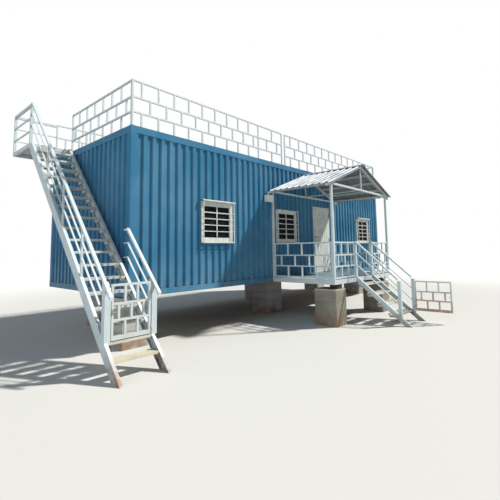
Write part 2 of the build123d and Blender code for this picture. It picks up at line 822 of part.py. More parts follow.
def canopy_sheet(side):
    # Narrow ribs run from ridge to eave: the section is drawn square to the slope and run down it
    shape = [(0, 0), *[(s, -d) for s, d in sheet_ribs], (sheet_span, 0)]
    lower = [(s, d - sheet_thickness) for s, d in reversed(shape)]
    up = Vector(side * math.sin(pitch_angle), 0, math.cos(pitch_angle))
    down = (side * math.cos(pitch_angle), 0, -math.sin(pitch_angle))
    apex = (ridge_x, canopy_front, sheet_apex)
    plane = Plane(origin=apex, x_dir=(0, 1, 0), z_dir=Vector(0, 1, 0).cross(up))
    sheet = extrude(plane * outline(*shape, *lower), amount=eave_reach / math.cos(pitch_angle), dir=down)
    # Both slopes are cut upright where they meet at the ridge
    zone = (ridge_x, ridge_x + sheet_span + eave_reach)
    if side < 0:
        zone = (ridge_x - sheet_span - eave_reach, ridge_x)
    return sheet & block(zone, (canopy_front - 1, 1), (tie_low, rib_apex + 1))


pitch_angle = math.radians(canopy_pitch)
canopy_front = porch_front - canopy_front_overhang
sheet_span = -canopy_front
sheet_ribs = ribbed_line(sheet_span, sheet_rib_pitch, sheet_rib_height, sheet_flat, sheet_rib_flank)
sheet_apex = rafter_low(0) + rafter_depth + sheet_thickness / math.cos(pitch_angle)
rib_apex = sheet_apex + sheet_rib_height / math.cos(pitch_angle)
add("canopy_sheet_left", canopy_sheet(-1))
add("canopy_sheet_right", canopy_sheet(1))

# A folded cap over the ridge, resting on the ribs of the sheets along its two edges
cap_eave = rib_apex - ridge_cap_reach * pitch_slope
cap_apex = rib_apex + ridge_cap_lift
cap_line = [
    (ridge_x - ridge_cap_reach, cap_eave),
    (ridge_x, cap_apex),
    (ridge_x + ridge_cap_reach, cap_eave),
    (ridge_x + ridge_cap_reach, cap_eave + ridge_cap_thickness),
    (ridge_x, cap_apex + ridge_cap_thickness),
    (ridge_x - ridge_cap_reach, cap_eave + ridge_cap_thickness),
]
add("canopy_ridge_cap", along_y(cap_line, canopy_front, 0))

# Porch stair
porch_slope = porch_riser / porch_going
porch_nose_y = -porch_depth - porch_first_run
porch_nose_z = porch_floor - porch_first_drop


def porch_nosing(y):
    return porch_nose_z - (porch_nose_y - y) * porch_slope


porch_ground_y = porch_nose_y - porch_nose_z / porch_slope
half_stringer = stringer_width / 2
stair_lines = (porch_stair_left, porch_stair_right)
porch_stringers = []
for x, side in zip(stair_lines, (1, -1)):
    head = min(porch_nosing(porch_front), frame_low[1])
    head_y = porch_nose_y + (head - porch_nose_z) / porch_slope
    edge = [
        (porch_front, head),
        (head_y, head),
        (porch_ground_y, 0),
        (porch_ground_y + porch_stringer_depth / porch_slope, 0),
        (porch_front, porch_nosing(porch_front) - porch_stringer_depth),
    ]
    if head_y >= porch_front - 1:
        edge.pop(1)
    porch_stringers.append(channel_stringer(edge, (x - half_stringer, x + half_stringer), side))
add("porch_stair_stringers", *porch_stringers)
porch_tread_x = (porch_stair_left + half_stringer, porch_stair_right - half_stringer)
porch_steps = []
for index in range(porch_treads):
    nose = porch_nose_y - index * porch_going
    top = porch_nose_z - index * porch_riser
    depth = min(porch_tread_depth, porch_front - nose)
    porch_steps.append(folded_tread(porch_tread_x, (nose, nose + depth), top))
add("porch_stair_treads", *porch_steps)

upper_newel_y = (-porch_depth - half_newel, -porch_depth + half_newel)
lower_newel_middle = -porch_depth - lower_newel_run
lower_newel_y = (lower_newel_middle - half_newel, lower_newel_middle + half_newel)
handrail_head = underside + upper_newel_top
handrail_foot = underside + porch_newel_top


def porch_rail_top(y):
    share = (y - lower_newel_y[0]) / (upper_newel_y[0] - lower_newel_y[0])
    return handrail_foot + share * (handrail_head - handrail_foot)


upper_newels, lower_newels = [], []
for x in stair_lines:
    xs = (x - half_newel, x + half_newel)
    upper_newels.append(block(xs, upper_newel_y, (porch_floor, handrail_head)))
    foot_line = [
        (lower_newel_y[0], porch_nosing(lower_newel_y[0])),
        (lower_newel_y[1], porch_nosing(lower_newel_y[1])),
        (lower_newel_y[1], handrail_foot),
        (lower_newel_y[0], handrail_foot),
    ]
    lower_newels.append(across_x(foot_line, x - half_newel, porch_newel))
add("porch_stair_newels", *upper_newels, *lower_newels)

rail_drop = (upper_newel_top - porch_handrail_bar) / (mid_rail_count + 1 + rail_foot_share)
porch_stair_rails = []
for x in stair_lines:
    for index in range(mid_rail_count + 1):
        bar = mid_rail_bar if index else porch_handrail_bar
        ends = [(y, porch_rail_top(y) - index * rail_drop) for y in (upper_newel_y[0], lower_newel_y[1])]
        porch_stair_rails.append(slope_bar(*ends, bar, (x - bar / 2, x + bar / 2)))
add("porch_stair_rails", *porch_stair_rails)


# Gates: brick-pattern leaves with a deep foot bar, hung on the right-hand newel
def gate_leaf(length, height):
    # The leaf hangs to the left of its hinge line, which is the origin, flush with the front
    cell = (length - gate_bar) / gate_cells
    gaps = brick_openings(length, height, cell, rail_courses, gate_bar, gate_foot_bar, cell)
    frame = Rectangle(length, height, align=Align.MIN) - gaps
    left = -length - gate_gap / 2
    return slab(facing_front, Pos(left, 0) * frame, -hinge_offset - gate_bar, gate_bar)


roof_gate_run = (outer_newel_x[1], inner_newel_x[0])
roof_gate_length = roof_gate_run[1] - roof_gate_run[0] - gate_gap - gate_latch_gap
roof_gate_hinge = (roof_gate_run[1] - gate_gap / 2, newel_faces[0] - hinge_offset)
roof_gate_z = first_nose_z - (gate_tread - 1) * stair_riser + roof_gate_lift
roof_leaf = gate_leaf(roof_gate_length, roof_gate_height)
add("roof_stair_gate", Pos(*roof_gate_hinge, roof_gate_z) * roof_leaf)

porch_gate_run = (porch_stair_left + half_newel, porch_stair_right - half_newel)
porch_gate_length = porch_gate_run[1] - porch_gate_run[0] - gate_gap - gate_latch_gap
porch_gate_hinge = (porch_gate_run[1] - gate_gap / 2, lower_newel_y[0] - hinge_offset)
porch_gate_z = underside + porch_gate_top - porch_gate_height
porch_leaf = Rot(0, 0, porch_gate_rest) * gate_leaf(porch_gate_length, porch_gate_height)
add("porch_stair_gate", Pos(*porch_gate_hinge, porch_gate_z) * porch_leaf)


# Gate hinges: a pin beside each gate's edge, held off the newel by two ears
def gate_hinges(hinge, newel_face, heights):
    pins = []
    for z in heights:
        pin = Pos(*hinge, z) * Cylinder(hinge_offset, hinge_length / 2)
        ear_y = (hinge[1], hinge[1] + 2 * hinge_offset)
        ear_z = (z - hinge_length / 4, z + hinge_length / 4)
        pins.append(pin + block((hinge[0], newel_face), ear_y, ear_z))
    return pins


roof_hinge_z = [roof_gate_z + share * roof_gate_height for share in gate_hinge_shares]
porch_hinge_z = [porch_gate_z + share * porch_gate_height for share in gate_hinge_shares]
roof_pins = gate_hinges(roof_gate_hinge, roof_gate_run[1], roof_hinge_z)
porch_pins = gate_hinges(porch_gate_hinge, porch_gate_run[1], porch_hinge_z)
add("gate_hinges", *roof_pins, *porch_pins)


# Concrete pedestals and the packing on them
def pedestal(xs, ys, height):
    shape = block(xs, ys, (0, height))
    return chamfer(shape.edges().filter_by(Axis.Z), pedestal_chamfer)


pedestals, packing = [], []
pedestal_height = underside - packing_height
back_row = cabin_width - pedestal_setback - pedestal_depth
right_end = cabin_length - pedestal_width
pedestal_spots = (
    (0, left_pedestal_setback),
    (porch_left + middle_pedestal_offset, pedestal_setback),
    (right_end, pedestal_setback),
    (back_pedestal_inset, back_row),
    (porch_left + back_middle_offset, back_row),
    (right_end, back_row),
)
for x, y in pedestal_spots:
    xs = (x, x + pedestal_width)
    ys = (y, y + pedestal_depth)
    pedestals.append(pedestal(xs, ys, pedestal_height))
    pad_x = (xs[0] + packing_inset, xs[1] - packing_inset)
    pad_y = (ys[0] + packing_inset, ys[1] - packing_inset)
    packing.append(block(pad_x, pad_y, (pedestal_height, underside)))

porch_pedestal_height = underside - porch_packing_height
pedestal_y = (porch_front + porch_pedestal_inset, porch_front + porch_pedestal_inset + porch_pedestal_depth)
porch_pedestal_lefts = (
    porch_left + porch_pedestal_inset,
    porch_right - porch_pedestal_inset - porch_pedestal_width,
)
for left in porch_pedestal_lefts:
    pedestals.append(pedestal((left, left + porch_pedestal_width), pedestal_y, porch_pedestal_height))
    middle = left + porch_pedestal_width / 2
    pad_x = (middle - porch_packing_size / 2, middle + porch_packing_size / 2)
    pad_y = (pedestal_y[0] + pedestal_chamfer, pedestal_y[0] + pedestal_chamfer + porch_packing_size)
    packing.append(block(pad_x, pad_y, (porch_pedestal_height, underside)))
add("concrete_pedestals", *pedestals)
add("packing_plates", *packing)

# Move the origin to the centre of the footprint and write each piece
whole = Compound(list(parts.values())).bounding_box()
centre = whole.center()
to_origin = Pos(-centre.X, -centre.Y, -whole.min.Z)
os.makedirs("parts", exist_ok=True)
for name, part in parts.items():
    export_step(to_origin * part, f"parts/{name}.step")
print(f"origin {centre.X:.3f} {centre.Y:.3f} {whole.min.Z:.3f} size {whole.size}")
print(f"roof gate hinge {roof_gate_hinge} porch gate hinge {porch_gate_hinge} door hinge {hinge_x, hinge_y}")
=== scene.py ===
import json
import math

import bpy
from mathutils import Matrix, Vector


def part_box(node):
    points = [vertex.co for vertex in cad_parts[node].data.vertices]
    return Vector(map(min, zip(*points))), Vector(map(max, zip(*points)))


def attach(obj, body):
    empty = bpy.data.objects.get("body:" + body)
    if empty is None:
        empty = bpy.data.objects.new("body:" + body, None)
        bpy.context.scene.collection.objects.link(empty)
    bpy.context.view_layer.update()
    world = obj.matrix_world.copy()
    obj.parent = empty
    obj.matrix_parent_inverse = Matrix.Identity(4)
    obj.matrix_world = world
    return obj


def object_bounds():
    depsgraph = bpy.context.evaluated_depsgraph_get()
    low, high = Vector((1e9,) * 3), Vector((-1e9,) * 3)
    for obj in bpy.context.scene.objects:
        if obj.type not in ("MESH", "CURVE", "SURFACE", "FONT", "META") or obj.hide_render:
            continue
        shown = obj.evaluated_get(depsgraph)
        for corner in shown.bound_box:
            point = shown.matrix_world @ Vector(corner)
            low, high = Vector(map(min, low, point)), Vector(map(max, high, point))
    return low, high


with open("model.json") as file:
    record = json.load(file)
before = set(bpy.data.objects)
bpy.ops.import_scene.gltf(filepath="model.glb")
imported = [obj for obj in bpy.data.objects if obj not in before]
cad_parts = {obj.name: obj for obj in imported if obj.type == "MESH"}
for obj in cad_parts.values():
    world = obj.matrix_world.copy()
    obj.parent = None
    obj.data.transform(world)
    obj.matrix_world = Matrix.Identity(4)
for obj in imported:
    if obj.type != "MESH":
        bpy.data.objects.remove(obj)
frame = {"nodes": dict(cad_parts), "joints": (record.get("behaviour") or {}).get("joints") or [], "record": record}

nodes = frame["nodes"]
cadBox = [list(corner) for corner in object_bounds()]
print("frame loaded", len(nodes), "nodes")


# A wrapped socket, so that masks are written as sums and products
class Wire:
    def __init__(self, sheet, socket):
        self.sheet = sheet
        self.socket = socket

    def maths(self, operation, first, second):
        return self.sheet.node("ShaderNodeMath", {"operation": operation}, {0: first, 1: second})

    def __add__(self, other):
        return self.maths("ADD", self, other)

    def __radd__(self, other):
        return self.maths("ADD", other, self)

    def __sub__(self, other):
        return self.maths("SUBTRACT", self, other)

    def __rsub__(self, other):
        return self.maths("SUBTRACT", other, self)

    def __mul__(self, other):
        return self.maths("MULTIPLY", self, other)

    def __rmul__(self, other):
        return self.maths("MULTIPLY", other, self)


# A node tree of a material or of the world
class Sheet:
    def __init__(self, owner, outputKind):
        owner.use_nodes = True
        self.owner = owner
        self.tree = owner.node_tree
        self.tree.nodes.clear()
        self.output = self.node(outputKind, {}, {}, None)

    def feed(self, socket, value):
        # A socket takes a link, a colour or a number
        if isinstance(value, Wire):
            self.tree.links.new(value.socket, socket)
        elif socket.type == "RGBA":
            socket.default_value = (*value, 1)
        else:
            socket.default_value = value

    def node(self, kind, settings, values, output=0):
        made = self.tree.nodes.new(kind)
        for key, value in settings.items():
            setattr(made, key, value)
        for key, value in values.items():
            self.feed(made.inputs[key], value)
        return made if output is None else Wire(self, made.outputs[output])

    def mix(self, share, first, second):
        made = self.node("ShaderNodeMix", {"data_type": "RGBA"}, {"Factor": share}, None)
        colours = {socket.name: socket for socket in made.inputs if socket.type == "RGBA"}
        self.feed(colours["A"], first)
        self.feed(colours["B"], second)
        return Wire(self, [socket for socket in made.outputs if socket.type == "RGBA"][0])

    def between(self, wire, low, high, top=1.0):
        # 0 below low, top above high, smooth between
        values = {"Value": wire, "From Min": low, "From Max": high, "To Min": 0.0, "To Max": top}
        return self.node("ShaderNodeMapRange", {"interpolation_type": "SMOOTHSTEP"}, values)

    def vector(self, operation, first, second):
        return self.node("ShaderNodeVectorMath", {"operation": operation}, {0: first, 1: second})

    def close(self, shader):
        self.feed(self.output.inputs["Surface"], shader)
        return self.owner


# A material's sheet, with the place on the cabin in metres and the way that a face points
class Finish(Sheet):
    def __init__(self, name):
        super().__init__(bpy.data.materials.new(name), "ShaderNodeOutputMaterial")
        coords = self.node("ShaderNodeTexCoord", {}, {}, None)
        self.place = Wire(self, coords.outputs["Object"])
        self.across, self.along, self.height = self.split(self.place)
        self.facingUp = self.split(Wire(self, coords.outputs["Normal"]))[2]

    def split(self, wire):
        parts = self.node("ShaderNodeSeparateXYZ", {}, {"Vector": wire}, None)
        return [Wire(self, part) for part in parts.outputs]

    def grain(self, size, detail=3, roughness=0.55, scale=(1, 1, 1), offset=0.0):
        spot = self.vector("MULTIPLY", self.place, scale)
        if offset:
            spot = self.vector("ADD", spot, (offset, offset, offset))
        values = {"Vector": spot, "Scale": size, "Detail": detail, "Roughness": roughness}
        return self.node("ShaderNodeTexNoise", {}, values)

    def bump(self, height, strength, distance):
        return self.node("ShaderNodeBump", {}, {"Height": height, "Strength": strength, "Distance": distance})

    def surface(self, values):
        return self.close(self.node("ShaderNodeBsdfPrincipled", {}, values))


# Blue wall paint: faded in clouds, streaked by rain, splashed at its foot
wallPaint = dict(
    blue=(0.039, 0.163, 0.296), faded=(0.076, 0.214, 0.345), dust=(0.24, 0.25, 0.23),
    fadeSize=0.9, fadeRange=(0.35, 0.7), rough=0.22, fadeRough=0.10, specular=0.08, coat=0.05, coatRough=0.08,
    streakSize=9.0, streakFall=(1, 1, 0.06), streakRange=(0.5, 0.8), streakShare=0.14,
    splashSize=6.0, splashHeights=(0.92, 1.5), splashRange=(0.4, 0.7), splashShare=0.30, splashRough=0.3,
    dentSize=2.2, dentFall=(1, 1, 0.35), dentStrength=0.25, dentDepth=0.004,
)


def makeWallPaint(paint):
    sheet = Finish("site blue paint")
    fade = sheet.between(sheet.grain(paint["fadeSize"]), *paint["fadeRange"])
    streakGrain = sheet.grain(paint["streakSize"], 3, 0.6, paint["streakFall"])
    streaks = sheet.between(streakGrain, *paint["streakRange"])
    low = 1 - sheet.between(sheet.height, *paint["splashHeights"])
    splash = low * sheet.between(sheet.grain(paint["splashSize"], 5), *paint["splashRange"])
    colour = sheet.mix(fade, paint["blue"], paint["faded"])
    colour = sheet.mix(streaks * paint["streakShare"], colour, paint["dust"])
    colour = sheet.mix(splash * paint["splashShare"], colour, paint["dust"])
    rough = paint["rough"] + paint["fadeRough"] * fade + paint["splashRough"] * splash
    dentGrain = sheet.grain(paint["dentSize"], 2, 0.5, paint["dentFall"])
    dents = sheet.bump(dentGrain, paint["dentStrength"], paint["dentDepth"])
    return sheet.surface({
        "Base Color": colour, "Roughness": rough, "Normal": dents, "Specular IOR Level": paint["specular"],
        "Coat Weight": paint["coat"], "Coat Roughness": paint["coatRough"],
    })


# Pale paint on steel: grime gathers at the foot, faces that look down get painted shade, and rust breaks through
steelPaint = dict(
    # The grime colour stands for real grime at the foot and in runs, and also for painted shade on faces that look
    # down
    worn=(0.42, 0.49, 0.515), grimeAndShade=(0.19, 0.17, 0.13), rust=(0.33, 0.14, 0.055),
    blotchSize=3.5, blotchRange=(0.4, 0.75), blotchShare=0.55, shadeUnderRange=(0.3, 0.8), shadeUnderShare=0.6,
    runSize=26.0, runFall=(1, 1, 0.12), runRange=(0.55, 0.8), runShare=0.22,
    lowFrom=0.02, lowShare=0.55, speckSize=42.0, speckRange=(0.62, 0.72), speckShare=0.35,
    patchSize=7.0, patchRange=(0.46, 0.62), brokenSize=5.0, brokenRange=(0.40, 0.54), brokenShare=0.6,
    brokenFade=0.15, porchEdge=(-1.0, 0.0), rough=0.42, blotchRough=0.18, lowRough=0.3,
    weldSize=60.0, weldStrength=0.12, weldDepth=0.0008, coat=0.1, coatRough=0.3,
)
frameCoat = dict(name="pale steel paint", pale=(0.53, 0.61, 0.645), foot=0.42, rustShare=0.8, seed=1.0, rustTop=0.0)
gateCoat = dict(name="gate paint", pale=(0.56, 0.61, 0.63), foot=0.45, rustShare=0.7, seed=4.0, rustTop=0.78)


def makeSteelPaint(paint, coat):
    # Grime lies below the height foot, and on the porch side rust has broken through below rustTop
    sheet = Finish(coat["name"])
    seed = coat["seed"]
    blotch = sheet.between(sheet.grain(paint["blotchSize"], 4, 0.6, offset=seed), *paint["blotchRange"])
    runs = sheet.between(sheet.grain(paint["runSize"], 3, 0.6, paint["runFall"], seed), *paint["runRange"])
    low = 1 - sheet.between(sheet.height, paint["lowFrom"], coat["foot"])
    specks = sheet.between(sheet.grain(paint["speckSize"], 4, 0.7, offset=seed + 3), *paint["speckRange"])
    patches = sheet.between(sheet.grain(paint["patchSize"], 5, 0.65, offset=seed + 7), *paint["patchRange"])
    rusting = (specks * paint["speckShare"] + patches * low) * coat["rustShare"]
    if coat["rustTop"]:
        brokenGrain = sheet.grain(paint["brokenSize"], 4, 0.6, offset=seed + 11)
        broken = sheet.between(brokenGrain, *paint["brokenRange"])
        porchSide = sheet.between(sheet.across, *paint["porchEdge"])
        below = 1 - sheet.between(sheet.height, coat["rustTop"] - paint["brokenFade"], coat["rustTop"])
        rusting = rusting + porchSide * below * broken * paint["brokenShare"]
    # Painted shade: faces that look down are darkened towards the grime colour
    under = sheet.between(-1 * sheet.facingUp, *paint["shadeUnderRange"])
    colour = sheet.mix(blotch * paint["blotchShare"], coat["pale"], paint["worn"])
    colour = sheet.mix(under * paint["shadeUnderShare"], colour, paint["grimeAndShade"])
    colour = sheet.mix(runs * paint["runShare"], colour, paint["grimeAndShade"])
    colour = sheet.mix(low * paint["lowShare"], colour, paint["grimeAndShade"])
    colour = sheet.mix(rusting, colour, paint["rust"])
    rough = paint["rough"] + paint["blotchRough"] * blotch + paint["lowRough"] * low
    weld = sheet.bump(sheet.grain(paint["weldSize"], 2), paint["weldStrength"], paint["weldDepth"])
    return sheet.surface({
        "Base Color": colour, "Roughness": rough, "Normal": weld,
        "Coat Weight": paint["coat"], "Coat Roughness": paint["coatRough"],
    })


# Tread plate: scuffed pale paint, sandy on the low treads, and blue-grey on the porch deck
treadPaint = dict(
    pale=(0.55, 0.58, 0.57), scuffed=(0.33, 0.31, 0.26), sand=(0.62, 0.55, 0.38),
    scuffSize=5.0, scuffRange=(0.42, 0.68), scuffShare=0.6, sandHeights=(0.3, 1.1), sandShare=0.55,
    deckBlue=(0.10, 0.17, 0.23), deckTrodden=(0.22, 0.27, 0.29), deckEdge=(-1.0, 0.0), deckHeights=(0.90, 0.92),
    rough=0.5, scuffRough=0.3, gritSize=90.0, gritStrength=0.3, gritDepth=0.001,
)


def makeTreadPaint(paint):
    sheet = Finish("tread plate paint")
    scuffs = sheet.between(sheet.grain(paint["scuffSize"], 5, 0.7), *paint["scuffRange"])
    lower = 1 - sheet.between(sheet.height, *paint["sandHeights"])
    colour = sheet.mix(scuffs * paint["scuffShare"], paint["pale"], paint["scuffed"])
    colour = sheet.mix(lower * paint["sandShare"], colour, paint["sand"])
    deck = sheet.between(sheet.across, *paint["deckEdge"]) * sheet.between(sheet.height, *paint["deckHeights"])
    colour = sheet.mix(deck, colour, sheet.mix(scuffs, paint["deckBlue"], paint["deckTrodden"]))
    rough = paint["rough"] + paint["scuffRough"] * scuffs
    grit = sheet.bump(sheet.grain(paint["gritSize"], 2), paint["gritStrength"], paint["gritDepth"])
    return sheet.surface({"Base Color": colour, "Roughness": rough, "Normal": grit})


# Cast concrete: greyer under the cabin, a light lip painted as the highlight of a rounded top edge, lines between the
# lifts, soil at the foot
concreteDetail = dict(
    dark=(0.205, 0.19, 0.155), light=(0.275, 0.257, 0.215), cloudSize=3.0, cloudRange=(0.35, 0.7),
    grey=(0.45, 0.465, 0.48), greyEdge=(-1.0, 0.0), greyShare=0.75,
    # The lip colour is a painted highlight: a lighter band at the top where a rounded edge would catch the light
    lip=(0.52, 0.47, 0.37), lipHeights=(0.795, 0.82), lipWave=0.06, lipSize=7.0, lipShare=0.7,
    lift=(0.17, 0.15, 0.115), liftSize=4.0, liftFall=(0.2, 0.2, 2.6), liftRange=(0.5, 0.62), liftShare=0.35,
    pit=(0.10, 0.09, 0.07), pitSize=55.0, pitRange=(0.62, 0.7), pitShare=0.6,
    soil=(0.26, 0.13, 0.055), soilHeights=(0.05, 0.42), soilSize=5.0, soilRange=(0.35, 0.6), soilShare=0.75,
    rough=0.86, coarseSize=18.0, fineSize=90.0, fineShare=0.6, pitDepth=0.8, reliefStrength=0.55, reliefDepth=0.008,
)


def makeConcrete(mould):
    sheet = Finish("cast concrete")
    cloud = sheet.between(sheet.grain(mould["cloudSize"], 5, 0.6), *mould["cloudRange"])
    pits = sheet.between(sheet.grain(mould["pitSize"], 3, 0.7), *mould["pitRange"])
    lifts = sheet.between(sheet.grain(mould["liftSize"], 2, 0.5, mould["liftFall"]), *mould["liftRange"])
    low = 1 - sheet.between(sheet.height, *mould["soilHeights"])
    soil = low * sheet.between(sheet.grain(mould["soilSize"], 4, offset=5.0), *mould["soilRange"])
    underCabin = sheet.between(sheet.along, *mould["greyEdge"], mould["greyShare"])
    # Painted highlight: a lighter band along the top of each pedestal
    wave = mould["lipWave"] * sheet.grain(mould["lipSize"], 3)
    lip = sheet.between(sheet.height + wave, *mould["lipHeights"])
    colour = sheet.mix(cloud, mould["dark"], mould["light"])
    colour = sheet.mix(underCabin, colour, mould["grey"])
    colour = sheet.mix(lip * mould["lipShare"], colour, mould["lip"])
    colour = sheet.mix(lifts * mould["liftShare"], colour, mould["lift"])
    colour = sheet.mix(pits * mould["pitShare"], colour, mould["pit"])
    colour = sheet.mix(soil * mould["soilShare"], colour, mould["soil"])
    fine = mould["fineShare"] * sheet.grain(mould["fineSize"], 3, 0.7)
    relief = sheet.grain(mould["coarseSize"], 6, 0.7) + fine - mould["pitDepth"] * pits
    bumps = sheet.bump(relief, mould["reliefStrength"], mould["reliefDepth"])
    return sheet.surface({"Base Color": colour, "Roughness": mould["rough"], "Normal": bumps})


# Roof sheets with rusty welded seams and the tide marks of old puddles
roofDetail = dict(
    grey=(0.42, 0.45, 0.45), stained=(0.30, 0.31, 0.29), mud=(0.25, 0.22, 0.17), rust=(0.24, 0.15, 0.09),
    seamStep=0.61, seamRange=(0.006, 0.028), seamShare=0.55, seamHeight=0.5,
    poolSize=0.8, poolEdge=(0.50, 0.56), poolInside=(0.57, 0.66), poolClear=0.6, poolShare=0.45,
    stainSize=5.0, stainRange=(0.45, 0.72), stainShare=0.6, rough=0.5, stainRough=0.25,
    waveSize=3.0, waveStrength=0.3, waveDepth=0.006,
)


def makeRoofSheet(roof):
    sheet = Finish("roof sheet")
    fromSeam = sheet.across.maths("PINGPONG", sheet.across, roof["seamStep"])
    seam = 1 - sheet.between(fromSeam, *roof["seamRange"])
    pool = sheet.grain(roof["poolSize"], 4, 0.55)
    puddle = sheet.between(pool, *roof["poolEdge"]) * (1 - sheet.between(pool, *roof["poolInside"], roof["poolClear"]))
    stain = sheet.between(sheet.grain(roof["stainSize"], 5, 0.65), *roof["stainRange"])
    colour = sheet.mix(stain * roof["stainShare"], roof["grey"], roof["stained"])
    colour = sheet.mix(puddle * roof["poolShare"], colour, roof["mud"])
    colour = sheet.mix(seam * roof["seamShare"], colour, roof["rust"])
    waves = sheet.grain(roof["waveSize"], 2) + roof["seamHeight"] * seam
    relief = sheet.bump(waves, roof["waveStrength"], roof["waveDepth"])
    rough = roof["rough"] + roof["stainRough"] * stain
    return sheet.surface({"Base Color": colour, "Roughness": rough, "Normal": relief})


# Dark glass with a film of dust
glassDetail = dict(
    clean=(0.006, 0.008, 0.010), dusty=(0.016, 0.019, 0.022), filmSize=4.0, filmRange=(0.35, 0.75),
    rough=0.05, filmRough=0.08, bend=1.2,
)


def makeGlass(glass):
    sheet = Finish("dark window glass")
    film = sheet.between(sheet.grain(glass["filmSize"]), *glass["filmRange"])
    tint = sheet.mix(film, glass["clean"], glass["dusty"])
    rough = glass["rough"] + glass["filmRough"] * film
    return sheet.surface({"Base Color": tint, "Roughness": rough, "IOR": glass["bend"]})


# Plain finishes: a colour worn in patches of one size, and another colour painted as shade on faces that look down
plainWear = dict(
    # The back range sets which downward-facing faces take the painted shade colour
    wearRange=(0.4, 0.72), backShadeRange=(0.1, 0.5), wearRough=0.12, fineSize=70.0, fineStrength=0.1, fineDepth=0.0006
)
plainFinishes = {
    "floor_board": dict(name="floor board", colour=(0.30, 0.21, 0.12), worn=(0.20, 0.14, 0.08), rough=0.55, size=3.0),
    "frame_steel": dict(name="joist paint", colour=(0.08, 0.09, 0.10), worn=(0.14, 0.10, 0.07), rough=0.55),
    "canopy_sheet": dict(
        # back is a darker colour painted as shade on the sheets' undersides
        name="canopy sheet", colour=(0.285, 0.33, 0.385), worn=(0.225, 0.26, 0.305), back=(0.135, 0.145, 0.145),
        rough=0.5, size=2.5,
    ),
    "frame_white": dict(
        name="off-white enamel", colour=(0.60, 0.635, 0.61), worn=(0.47, 0.50, 0.465), rough=0.4, coat=0.1
    ),
    "grille_paint": dict(
        name="grille enamel", colour=(0.64, 0.68, 0.68), worn=(0.50, 0.53, 0.51), rough=0.4, coat=0.1
    ),
    "ironmongery": dict(
        name="zinc ironmongery", colour=(0.42, 0.43, 0.44), worn=(0.28, 0.27, 0.25), rough=0.32, metallic=0.85,
        size=30.0,
    ),
    "box_plastic": dict(name="box plastic", colour=(0.74, 0.76, 0.76), worn=(0.64, 0.65, 0.63), rough=0.45),
    "packing_steel": dict(
        name="packing plate", colour=(0.045, 0.040, 0.035), worn=(0.10, 0.055, 0.03), rough=0.7, size=12.0
    ),
}


def makePlain(name, colour, worn, rough, metallic=0.0, size=8.0, coat=0.0, back=None):
    sheet = Finish(name)
    wear = sheet.between(sheet.grain(size, 4, 0.6), *plainWear["wearRange"])
    tint = sheet.mix(wear, colour, worn)
    # Painted shade: faces that look down take the back colour
    if back:
        tint = sheet.mix(sheet.between(-1 * sheet.facingUp, *plainWear["backShadeRange"]), tint, back)
    fine = sheet.bump(sheet.grain(plainWear["fineSize"], 2), plainWear["fineStrength"], plainWear["fineDepth"])
    return sheet.surface({
        "Base Color": tint, "Roughness": rough + plainWear["wearRough"] * wear, "Metallic": metallic,
        "Normal": fine, "Coat Weight": coat,
    })


materials = {
    "wall_paint": makeWallPaint(wallPaint),
    "roof_sheet": makeRoofSheet(roofDetail),
    "steelwork": makeSteelPaint(steelPaint, frameCoat),
    "gate_paint": makeSteelPaint(steelPaint, gateCoat),
    "tread_plate": makeTreadPaint(treadPaint),
    "window_glass": makeGlass(glassDetail),
    "concrete": makeConcrete(concreteDetail),
}
for slotName, settings in plainFinishes.items():
    materials[slotName] = makePlain(**settings)
slotOf = {entry["node"]: entry["material_slot"] for entry in frame["record"]["subparts"]}
for nodeName, node in nodes.items():
    node.data.materials.clear()
    node.data.materials.append(materials[slotOf[nodeName]])
print("materials", len(materials))


boltCrown = 0.74  # a bolt's height as a share of its washer's radius


# A mesh in the making
class Shape:
    def __init__(self):
        self.points = []
        self.faces = []

    def add(self, points, faces):
        start = len(self.points)
        self.points += [tuple(point) for point in points]
        self.faces += [tuple(start + index for index in face) for face in faces]

    def block(self, low, high):
        corners = [(x, y, z) for z in (low[2], high[2]) for y in (low[1], high[1]) for x in (low[0], high[0])]
        self.add(corners, [(0, 2, 3, 1), (4, 5, 7, 6), (0, 1, 5, 4), (2, 6, 7, 3), (0, 4, 6, 2), (1, 3, 7, 5)])

    def loft(self, rings):
        # Closed rings of equal length joined in order, with flat ends
        size = len(rings[0])
        faces = []
        for start in range(0, (len(rings) - 1) * size, size):
            for index in range(size):
                after = (index + 1) % size
                faces.append((start + index, start + after, start + size + after, start + size + index))
        lastRing = (len(rings) - 1) * size
        faces.append(tuple(reversed(range(size))))
        faces.append(tuple(range(lastRing, lastRing + size)))
        self.add([point for ring in rings for point in ring], faces)

    def turned(self, centre, direction, profile, sides=12):
        # profile is a list of (distance along the direction, radius)
        direction = Vector(direction).normalized()
        side = direction.orthogonal().normalized()
        other = direction.cross(side)
        rings = []
        for distance, radius in profile:
            ring = []
            for index in range(sides):
                turn = 2 * math.pi * index / sides
                offset = side * math.cos(turn) * radius + other * math.sin(turn) * radius
                ring.append(Vector(centre) + direction * distance + offset)
            rings.append(ring)
        self.loft(rings)

    def bolt(self, centre, direction, size):
        # Washer, hexagon head and a chamfered crown, as shares of the washer's radius
        washer, head, headTop, crownTop = size * 0.14, size * 0.62, size * 0.62, size * boltCrown
        self.turned(centre, direction, [(0, size), (washer, size)], 14)
        self.turned(centre, direction, [(washer, head), (headTop, head), (crownTop, head * 0.8)], 6)

    def finish(self, name, slot, body, bevel=0.0):
        mesh = bpy.data.meshes.new(name)
        mesh.from_pydata(self.points, [], self.faces)
        mesh.update()
        mesh.materials.append(materials[slot])
        made = bpy.data.objects.new(name, mesh)
        bpy.context.collection.objects.link(made)
        if bevel:
            rounding = made.modifiers.new("edge", "BEVEL")
            rounding.width = bevel
            rounding.segments = 2
            rounding.limit_method = "ANGLE"
        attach(made, body)


def boxAround(points):
    return [Vector(limit(point[axis] for point in points) for axis in range(3)) for limit in (min, max)]


